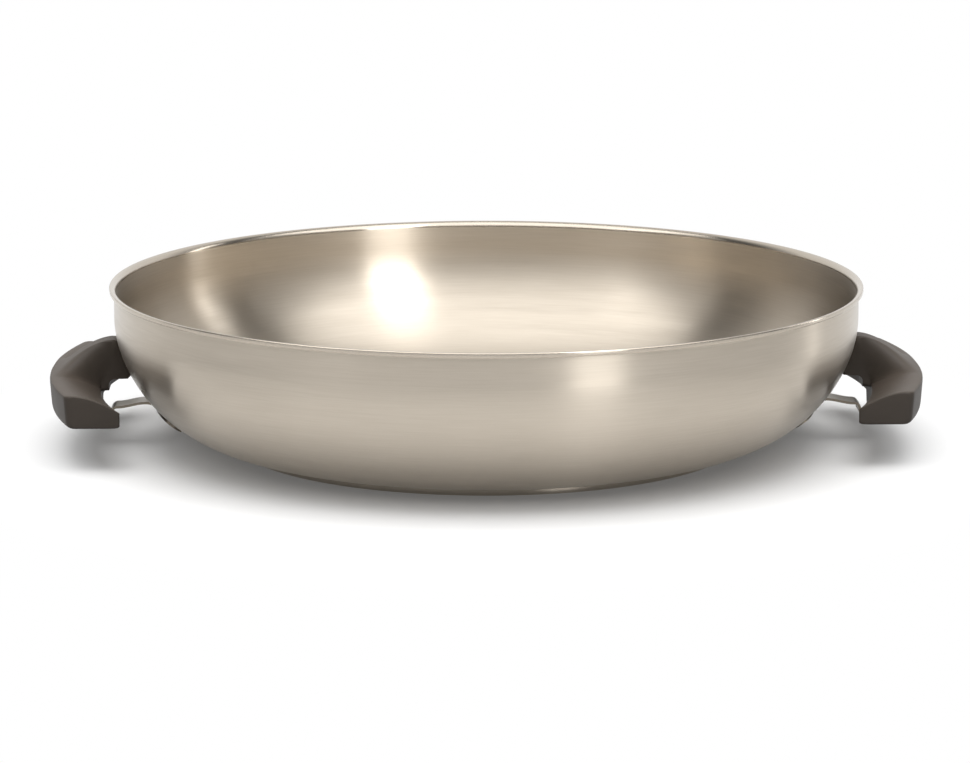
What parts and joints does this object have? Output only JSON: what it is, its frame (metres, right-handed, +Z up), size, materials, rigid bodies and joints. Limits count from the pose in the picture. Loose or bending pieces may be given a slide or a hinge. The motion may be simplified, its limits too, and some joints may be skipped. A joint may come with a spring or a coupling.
{
  "type": "wok",
  "caption": "Low, wide brushed-steel wok with a turned lip, a capsule base and short black side handles on bent steel brackets.",
  "frame": {"origin": "middle of the underside of the base, on the surface that the wok stands on", "axes": "+X through the middle of one handle, +Z up, out of the bowl's mouth"},
  "size_m": [0.4178, 0.36, 0.0776],
  "materials": {
    "brushed_steel": "stainless sheet, brushed round the bowl",
    "core_aluminium": "plain rolled plate",
    "phenolic": "moulded phenolic, satin black",
    "bracket_steel": "plain stainless sheet and screws",
    "insert_brass": "turned brass"
  },
  "bodies": {
    "root": {"pan_body": "brushed_steel", "base_cap": "brushed_steel", "base_core": "core_aluminium", "right_handle": "phenolic", "right_bracket": "bracket_steel", "right_handle_screw": "bracket_steel", "right_lock_washer": "bracket_steel", "right_thread_insert": "insert_brass", "left_handle": "phenolic", "left_bracket": "bracket_steel", "left_handle_screw": "bracket_steel", "left_lock_washer": "bracket_steel", "left_thread_insert": "insert_brass"}
  },
  "joints": []
}
